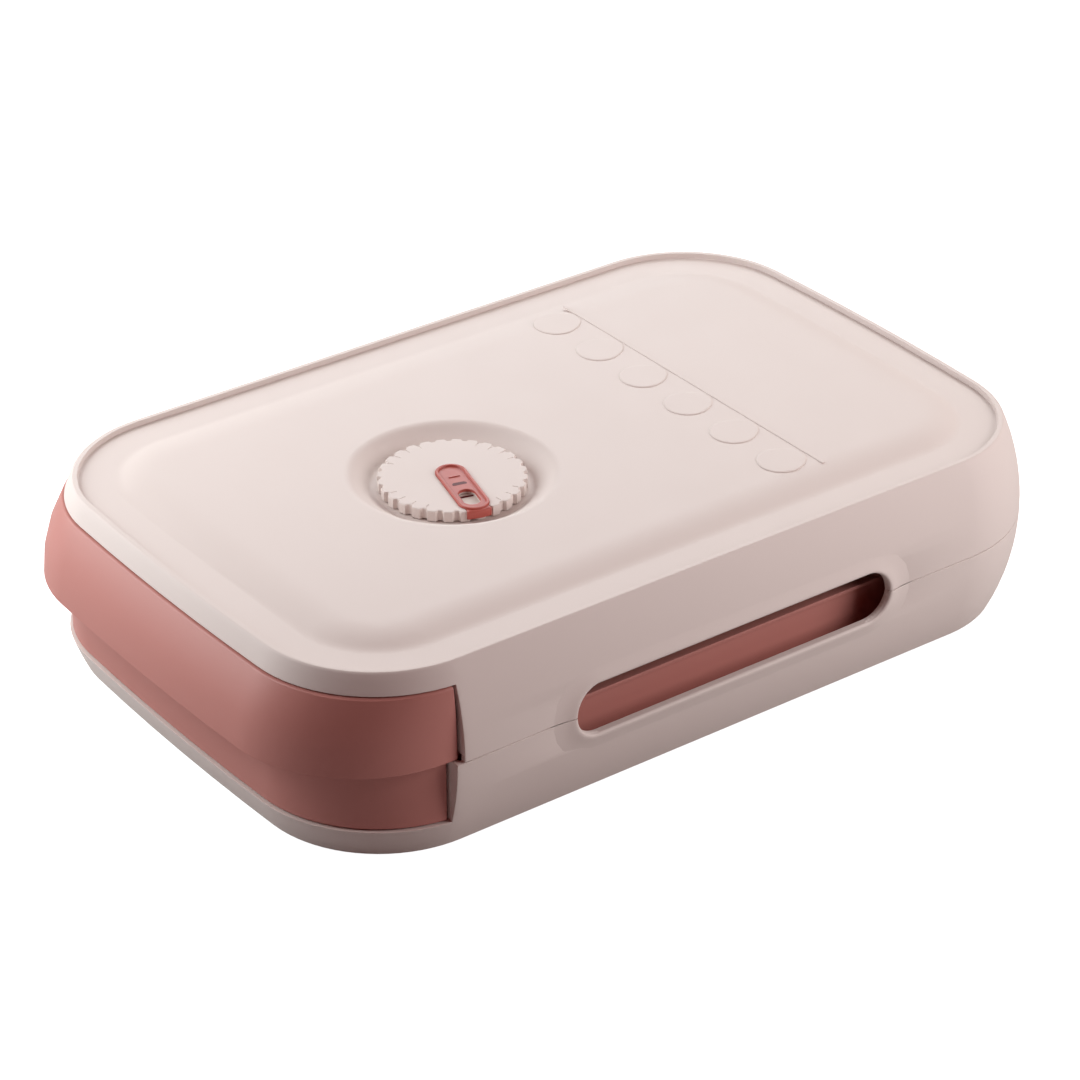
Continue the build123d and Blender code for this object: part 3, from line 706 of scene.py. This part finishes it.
pick(lambda at: hypot(at.x, at.y) > notch_root + 0.05 and step_of(at) in notch_steps)
bpy.ops.transform.resize(value=(notch_root / wheel_radius, notch_root / wheel_radius, 1),
                         center_override=(0, 0, 0))
pick(lambda at: at.z > wheel_top - 0.01 and tick_inner < hypot(at.x, at.y) < tick_outer
     and (degrees(atan2(at.y, at.x)) * notches * per_notch / 360 - 0.5) % tick_every < 0.5, "FACE")
bpy.ops.mesh.inset(thickness=tick_margin * MM, depth=-tick_depth * MM, use_individual=True)
settle(wheel, dial_axis)
print("turned and notched wheel:", len(wheel.data.vertices), "vertices")

# %% [markdown]
# ## The pointer's seat and the window
# The pointer is pressed into the wheel.  So the wheel has a seat with round ends, a place for the
# pointer's folded end, and a window down to the numbers.  None of them is round about the axis, so each
# is a plain solid of its own that an applied Boolean takes out of the turned cap.

# %% The seats and the window
seat_floor = wheel_top - 0.9
pointer_middle = 9.9
window_middle = 17.4
fold_width = 9.2
seat_size, window_size = (34.8, 11.8), (11.6, 6.6)


def block(name, middle, height, size):
    """A plain block on the line that the pointer lies along, about a middle and a height, in mm."""
    piece = begin(name)
    place = (middle * MM, 0, height * MM)
    bpy.ops.mesh.primitive_cube_add(size=MM, location=place)
    bpy.ops.transform.resize(value=size, center_override=place)
    bpy.ops.object.mode_set(mode="OBJECT")
    return piece


def round_ended(name, length, width, middle, low, high, corners=48):
    """A solid with round ends, along X from the dial's axis, between two heights."""
    piece = begin(name)
    bpy.ops.mesh.primitive_circle_add(vertices=corners, radius=width / 2 * MM,
                                      location=(middle * MM, 0, low * MM), rotation=(0, 0, pi / corners))
    bpy.ops.mesh.edge_face_add()
    for end in (-1, 1):
        pick(lambda at: (at.x - middle) * end > 0)
        bpy.ops.transform.translate(value=(end * (length - width) / 2 * MM, 0, 0))
    bpy.ops.mesh.select_all(action="SELECT")
    bpy.ops.mesh.extrude_region_move(TRANSFORM_OT_translate={"value": (0, 0, (high - low) * MM)})
    bpy.ops.mesh.select_all(action="SELECT")
    bpy.ops.mesh.normals_make_consistent(inside=False)
    bpy.ops.object.mode_set(mode="OBJECT")
    return piece


seat = round_ended("seat", *seat_size, pointer_middle, seat_floor, wheel_top + 3)
link_seat = block("link_seat", 26.5, wheel_top + 0.55, (10, fold_width, 2.9))
window = round_ended("window", *window_size, window_middle, hub_low - 1, wheel_top + 3)
fold_seat = block("fold_seat", 28.2, wheel_top - 1, (3.0, fold_width, 4.8))
for cutter in (seat, link_seat, window, fold_seat):
    settle(cutter, dial_axis, pointer_angle)
    cut_away(wheel, cutter)
wheel.name = wheel.data.name = "wheel_cap"
finish(wheel, "cover_plastic", body_of_node["dial_wheel"], ["dial_wheel"])

# %% [markdown]
# ## The pointer
# The pointer is a small moulding pressed into the wheel: a raised rim round a sunk floor, a window with
# round ends, and an end that folds down over the wheel's edge.  Rim, floor and window are one ring of
# vertices carried up, in and down while it is still a circle, and only then pulled out to its length,
# so that each ring keeps its width all round.  The window's rings are pulled out less than the rest.

# %% The rim, floor and window
rim_top = wheel_top + 0.8
floor_top = rim_top - 0.65
pointer_reach = 11.5
window_reach = 2.5
pointer_corners = 64
pointer_outline = [
    (5.8, seat_floor), *arc(5.4, rim_top - 0.4, 0.4, 0, 90, 4),
    *arc(4.9, rim_top - 0.35, 0.35, 90, 180, 3), (4.5, floor_top + 0.12), (4.38, floor_top),
    (3.36, floor_top), (3.2, floor_top - 0.16), (3.2, seat_floor)]
pointer = begin("pointer_moulding")
bpy.ops.mesh.primitive_circle_add(vertices=pointer_corners, radius=pointer_outline[0][0] * MM,
                                  location=(pointer_middle * MM, 0, seat_floor * MM),
                                  rotation=(0, 0, pi / pointer_corners))
carry(pointer_outline, centre=(pointer_middle, 0, 0))
pick(lambda at: at.z < seat_floor + 0.01)
bpy.ops.mesh.select_mode(type="EDGE")
bpy.ops.mesh.bridge_edge_loops()
for end in (-1, 1):
    pick(lambda at: (at.x - pointer_middle) * end > 0 and hypot(at.x - pointer_middle, at.y) > 4.0)
    bpy.ops.transform.translate(value=(end * pointer_reach * MM, 0, 0))
for end in (1, -1):
    pick(lambda at: (at.x - pointer_middle) * end > 0 and hypot(at.x - pointer_middle, at.y) < 3.6)
    shift = window_middle - pointer_middle + end * window_reach
    bpy.ops.transform.translate(value=(shift * MM, 0, 0))
bpy.ops.mesh.select_all(action="SELECT")
bpy.ops.mesh.normals_make_consistent(inside=False)
bpy.ops.object.mode_set(mode="OBJECT")
print("pointer's rim, floor and window:", len(pointer.data.vertices), "vertices")

# %% [markdown]
# ## The folded end
# The pointer's outer end folds down over the wheel's edge.  It could be bent from a flat bar, but the
# edge is round.  So its outline is drawn as one face in a plane through the dial's axis, and is spun a
# little way about that axis, which makes it follow the edge.

# %% The folded end
fold = begin("fold")
fold_top = wheel_top + 0.15
fold_half = 9.6
profile = [(24.6, seat_floor), (26.9, seat_floor), (26.9, 70.9), (27.3, 70.75), (28.0, 70.8),
           (28.25, 71.1), (28.3, 72.7), *arc(27.5, fold_top - 0.8, 0.8, 5, 90, 5), (24.6, fold_top)]
mesh = bmesh.from_edit_mesh(fold.data)
rim_corners = [mesh.verts.new(Vector((radius, 0, height)) * MM) for radius, height in profile]
mesh.faces.new(rim_corners)
bmesh.update_edit_mesh(fold.data)
bpy.ops.mesh.select_all(action="SELECT")
bpy.ops.mesh.spin(steps=14, angle=radians(2 * fold_half), center=(0, 0, 0), axis=(0, 0, 1), dupli=False)
bpy.ops.mesh.select_all(action="SELECT")
bpy.ops.mesh.normals_make_consistent(inside=False)
bpy.ops.object.mode_set(mode="OBJECT")
fold_turns = [degrees(atan2(corner.co.y, corner.co.x)) for corner in fold.data.vertices]
print("the folded end was spun from", round(min(fold_turns), 1),
      "to", round(max(fold_turns), 1), "degrees")
settle(fold, (0, 0, 0), fold_half - max(fold_turns))
break_edges(fold, 0.3, 50, 3)

# %% [markdown]
# ## The mark and the printed bar
# Two short bent bars lie across the pointer's sunk floor.  Both could be drawn by a material, but only
# real height catches the light.  One is moulded, so it is joined to the pointer and shares its plastic.
# The other is printed, so it is a thin piece of its own, in ink.

# %% The raised mark, the joined pointer and its printed bar
def bent_bar(name, length, width, bend, place, low, high):
    """A short round-ended bar across the pointer, whose ends bend outwards."""
    piece = round_ended(name, length, width, 0.0, low, high, 24)
    for corner in piece.data.vertices:
        corner.co.y += (corner.co.x / MM) ** 2 * bend * MM
    settle(piece, (place, 0, 0), -90)
    return piece


mark = bent_bar("mark", 4.4, 1.0, 0.1, 1.2, floor_top - 0.1, floor_top + 0.32)
break_edges(mark, 0.15, 50, 2)
deselect()
for piece in (pointer, fold, mark):
    piece.select_set(True)
bpy.context.view_layer.objects.active = pointer
bpy.ops.object.join()
settle(pointer, dial_axis, pointer_angle)
finish(pointer, "pointer_plastic", body_of_node["dial_pointer"], ["dial_pointer"])

print_bar = bent_bar("pointer_print", 5.6, 1.9, 0.09, 6.7, floor_top - 0.1, floor_top + 0.03)
settle(print_bar, dial_axis, pointer_angle)
print_bar.data.materials.clear()
print_bar.data.materials.append(ink)
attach(print_bar, body_of_node["dial_pointer"])
print("pointer print:", len(print_bar.data.polygons), "faces")

# %% [markdown]
# ## Numbers under the window
# The plate below the wheel carries fourteen plain numbers, one for each day, and the window shows one.
# They are text set round the axis, each reading outwards, made into a mesh before it takes its place.

# %% The ring of numbers
plate_top = 72.0
days = 14
shown_day = 1
number_start = 12.0
print_lift = 0.03
figure_size = 6.9
figure_weight = 0.28
figures = []
for day in range(1, days + 1):
    deselect()
    bpy.ops.object.text_add(location=(0, 0, 0))
    text = bpy.context.object
    text.data.body = str(day)
    text.data.size = figure_size * MM
    text.data.align_x = "LEFT"
    text.data.align_y = "CENTER"
    text.data.offset = figure_weight * MM
    text.data.space_character = 1.05
    bpy.ops.object.convert(target="MESH")
    figure = bpy.context.object
    figure.name = "date_numbers" if day == 1 else f"day_{day}"
    settle(figure, (number_start, 0, plate_top + print_lift))
    settle(figure, dial_axis, pointer_angle + 360 * (day - shown_day) / days)
    figures.append(figure)
deselect()
for figure in figures:
    figure.select_set(True)
bpy.context.view_layer.objects.active = figures[0]
bpy.ops.object.join()
figures[0].data.materials.clear()
figures[0].data.materials.append(ink)
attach(figures[0], body_of_node["date_plate"])
print("numbers:", len(figures[0].data.polygons), "faces")

# %% [markdown]
# ## The egg tray
# The tray is one thin sheet with a turned-down edge and a round, tapered cup for each egg.  The deck is
# a rounded slab hollowed from below.  All the cups' outsides, trimmed to the tray's outline, are added
# to it in one Boolean and all their insides are taken out in another.  Vertices that the Booleans left
# almost in one place are then merged, and every face is cut into triangles, because the deck round its
# twenty-four holes would shade unevenly as one face.

# %% The tray with its round cups
tray_corners = [corner.co / MM for corner in nodes["egg_tray"].data.vertices]
tray_low, tray_high = [Vector(map(end, *tray_corners)) for end in (min, max)]
tray_wall = 1.4
tray_skirt = 4.0
cup_rings = (10.5, 21.6)
cup_height = tray_high.z - tray_low.z
side_wall = tray_wall * sqrt(1 + ((cup_rings[1] - cup_rings[0]) / cup_height) ** 2)
cup_shift = 2.65
cup_columns, cup_rows = 4, 6
cup_pitch = (48, 50)
tray_corner_radius = 40.95
skirt_low = tray_high.z - tray_wall - tray_skirt


def tray_slab(name, low, high):
    """A solid with the tray's rounded outline between two heights."""
    piece = begin(name)
    middle = (tray_low + tray_high) / 2
    size = tray_high - tray_low
    place = Vector((middle.x, middle.y, low)) * MM
    bpy.ops.mesh.primitive_plane_add(size=MM, location=place)
    bpy.ops.transform.resize(value=(size.x, size.y, 1), center_override=place)
    bpy.ops.mesh.bevel(offset=tray_corner_radius * MM, segments=24, affect="VERTICES")
    bpy.ops.mesh.select_all(action="SELECT")
    bpy.ops.mesh.extrude_region_move(TRANSFORM_OT_translate={"value": (0, 0, (high - low) * MM)})
    bpy.ops.mesh.select_all(action="SELECT")
    bpy.ops.mesh.normals_make_consistent(inside=False)
    return piece


def cup_cones(name, wall, low, high):
    """Twenty-four tapered cups as one piece, each grown by a wall and cut off at two heights."""
    piece = begin(name)
    slope = (cup_rings[1] - cup_rings[0]) / cup_height
    ends = [(cup_rings[0] + wall + slope * (height - tray_low.z)) * MM for height in (low, high)]
    for column in range(cup_columns):
        for row in range(cup_rows):
            place = ((column - (cup_columns - 1) / 2) * cup_pitch[0],
                     (row - (cup_rows - 1) / 2) * cup_pitch[1] + cup_shift, (low + high) / 2)
            bpy.ops.mesh.primitive_cone_add(vertices=48, radius1=ends[0], radius2=ends[1],
                                            depth=(high - low) * MM, location=Vector(place) * MM)
    bpy.ops.object.mode_set(mode="OBJECT")
    return piece


tray = tray_slab("egg_tray_moulded", skirt_low, tray_high.z)
pick(lambda at: at.z < skirt_low + 0.01, "FACE")
bpy.ops.mesh.inset(thickness=tray_wall * MM)
bpy.ops.mesh.extrude_region_move(TRANSFORM_OT_translate={"value": (0, 0, tray_skirt * MM)})
bpy.ops.mesh.select_all(action="SELECT")
bpy.ops.mesh.normals_make_consistent(inside=False)
bpy.ops.object.mode_set(mode="OBJECT")
cups = cup_cones("cup_outsides", side_wall, tray_low.z, tray_high.z - 0.01)
trim = tray_slab("cup_trim", tray_low.z - 1, tray_high.z + 1)
bpy.ops.object.mode_set(mode="OBJECT")
cut_away(cups, trim, "INTERSECT")
cut_away(tray, cups, "UNION")
cut_away(tray, cup_cones("cup_insides", 0.0, tray_low.z - 1, tray_high.z + 1))
bpy.ops.object.mode_set(mode="EDIT")
bpy.ops.mesh.select_all(action="SELECT")
bpy.ops.mesh.remove_doubles(threshold=0.005 * MM)
bpy.ops.mesh.quads_convert_to_tris()
bpy.ops.object.mode_set(mode="OBJECT")
finish(tray, "tray_plastic", body_of_node["egg_tray"], ["egg_tray"])
